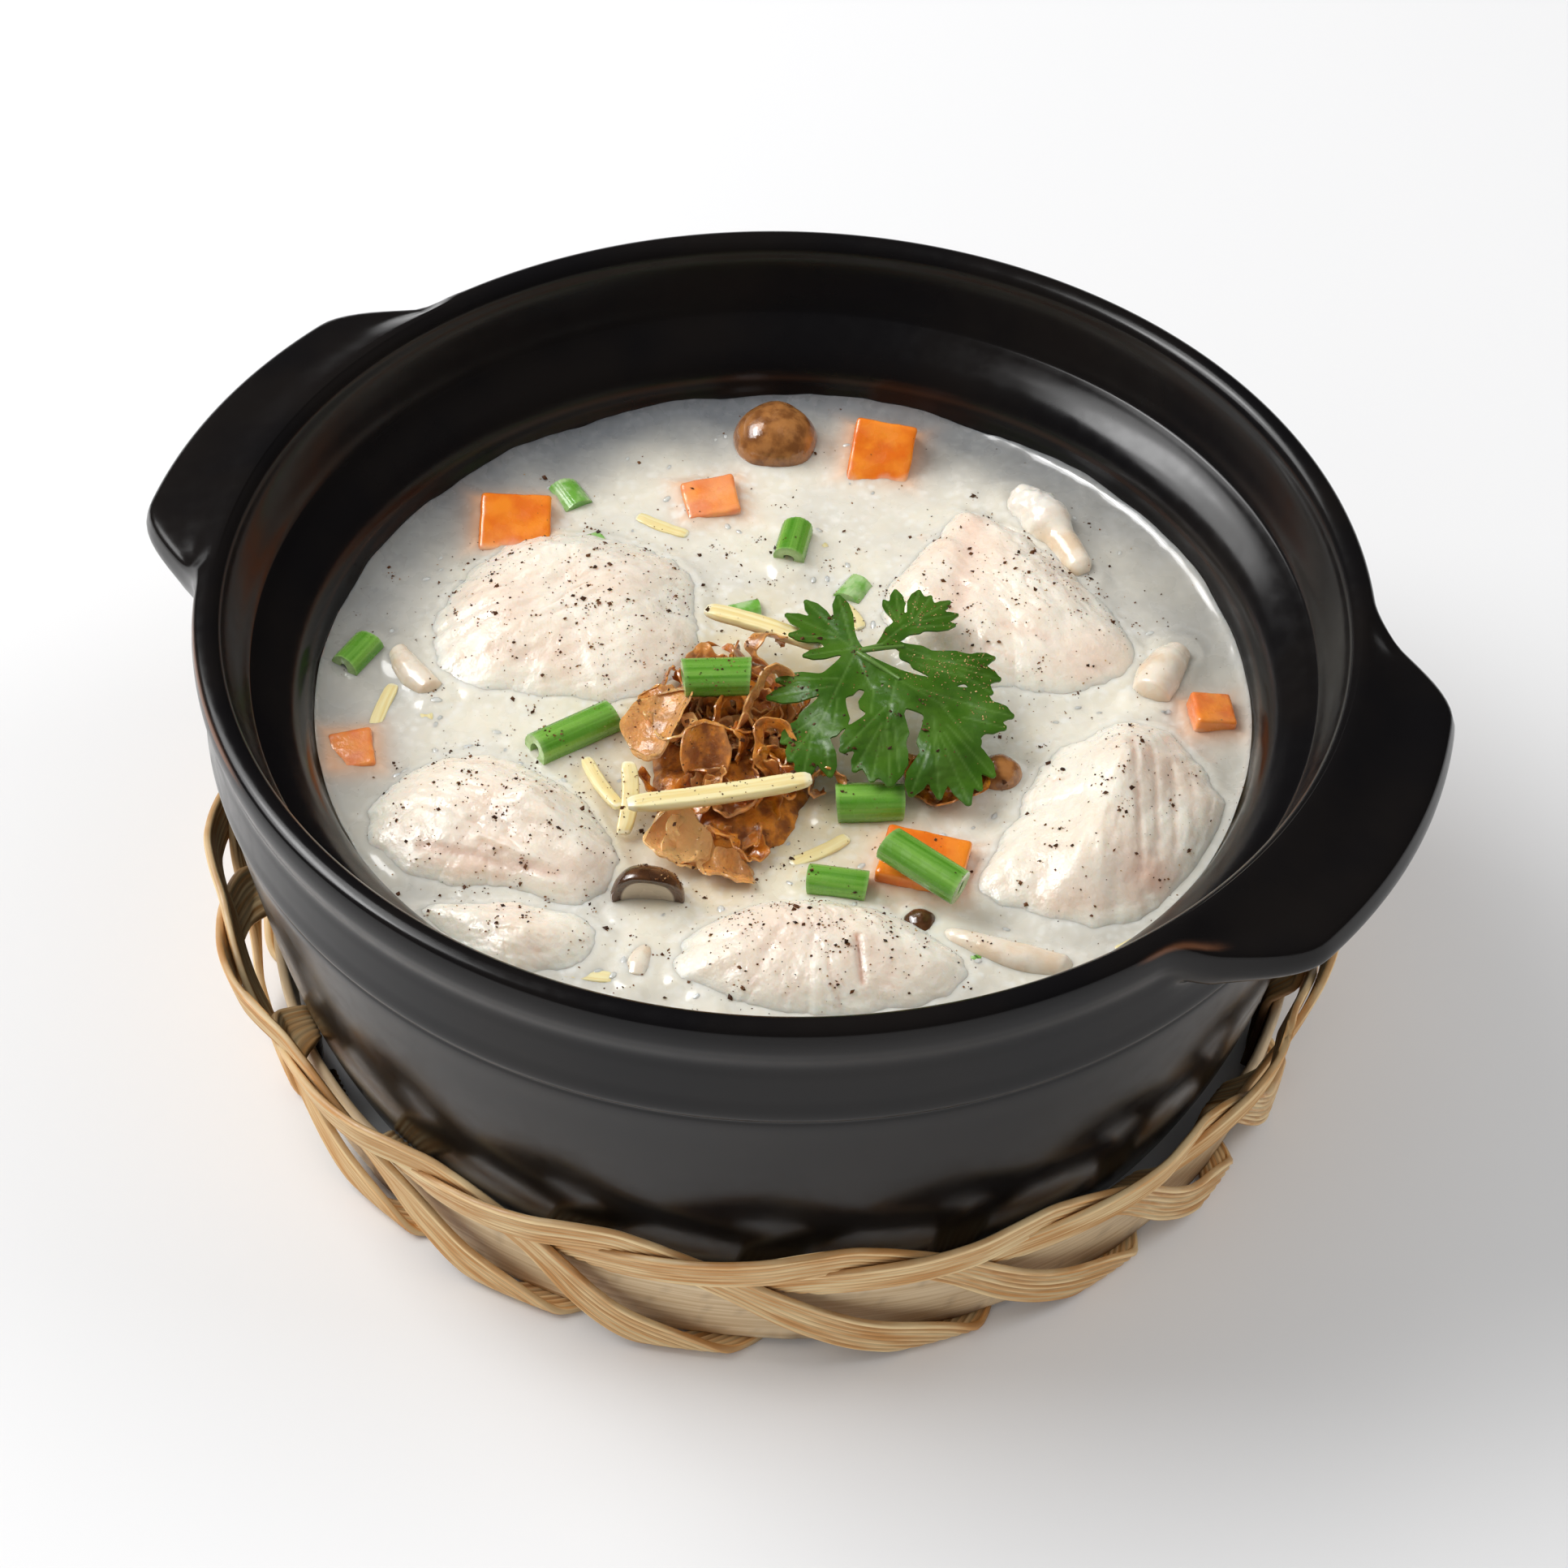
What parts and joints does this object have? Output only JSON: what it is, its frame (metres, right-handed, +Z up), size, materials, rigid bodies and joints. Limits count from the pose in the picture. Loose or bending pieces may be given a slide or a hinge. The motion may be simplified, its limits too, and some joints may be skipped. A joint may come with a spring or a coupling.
{
  "type": "fish congee in a clay pot on a bamboo ring",
  "caption": "Fish congee with vegetables and garnish in a round black clay pot with ears, standing in a woven bamboo ring.",
  "frame": {"origin": "on the pot's axis, at the surface that the pot and the bamboo ring stand on", "axes": "+Z up along the pot's axis, +X to the eater's right, +Y away from the eater; the ears lie near +X and -X, turned 26 degrees clockwise seen from above"},
  "size_m": [0.2343, 0.2134, 0.0965],
  "materials": {
    "black_glaze": "satin-gloss black glaze",
    "bamboo_strip": "ribbed split bamboo, bare",
    "bamboo_hoop": "smooth scraped bamboo, bare",
    "congee": "wet, milky rice porridge",
    "fish": "moist poached white fish",
    "carrot": "moist cut carrot",
    "mushroom_cap": "wet brown mushroom skin",
    "mushroom_stem": "moist pale mushroom flesh",
    "scallion": "glossy green scallion",
    "cilantro": "matt leaf with paler veins",
    "fried_shallot": "oily crisp fried shallot",
    "ginger": "moist fibrous ginger"
  },
  "bodies": {
    "root": {"clay_pot": "black_glaze", "ring_hoop": "bamboo_hoop", "ring_braid": "bamboo_strip", "congee": "congee", "fried_shallots": "fried_shallot", "fried_shallot_clump": "fried_shallot", "cilantro_leaf": "cilantro", "fish_1": "fish", "carrot_1": "carrot", "fish_2": "fish", "carrot_2": "carrot", "fish_3": "fish", "carrot_3": "carrot", "fish_4": "fish", "carrot_4": "carrot", "fish_5": "fish", "carrot_5": "carrot", "fish_6": "fish", "carrot_6": "carrot", "mushroom_cap_1": "mushroom_cap", "ginger_1": "ginger", "mushroom_cap_2": "mushroom_cap", "ginger_2": "ginger", "mushroom_cap_3": "mushroom_cap", "ginger_3": "ginger", "mushroom_cap_4": "mushroom_cap", "ginger_4": "ginger", "mushroom_stem_1": "mushroom_stem", "mushroom_stem_2": "mushroom_stem", "mushroom_stem_3": "mushroom_stem", "mushroom_stem_4": "mushroom_stem", "mushroom_stem_5": "mushroom_stem", "scallion_1": "scallion", "scallion_2": "scallion", "scallion_3": "scallion", "scallion_4": "scallion", "scallion_5": "scallion", "scallion_6": "scallion", "scallion_7": "scallion"}
  },
  "joints": []
}
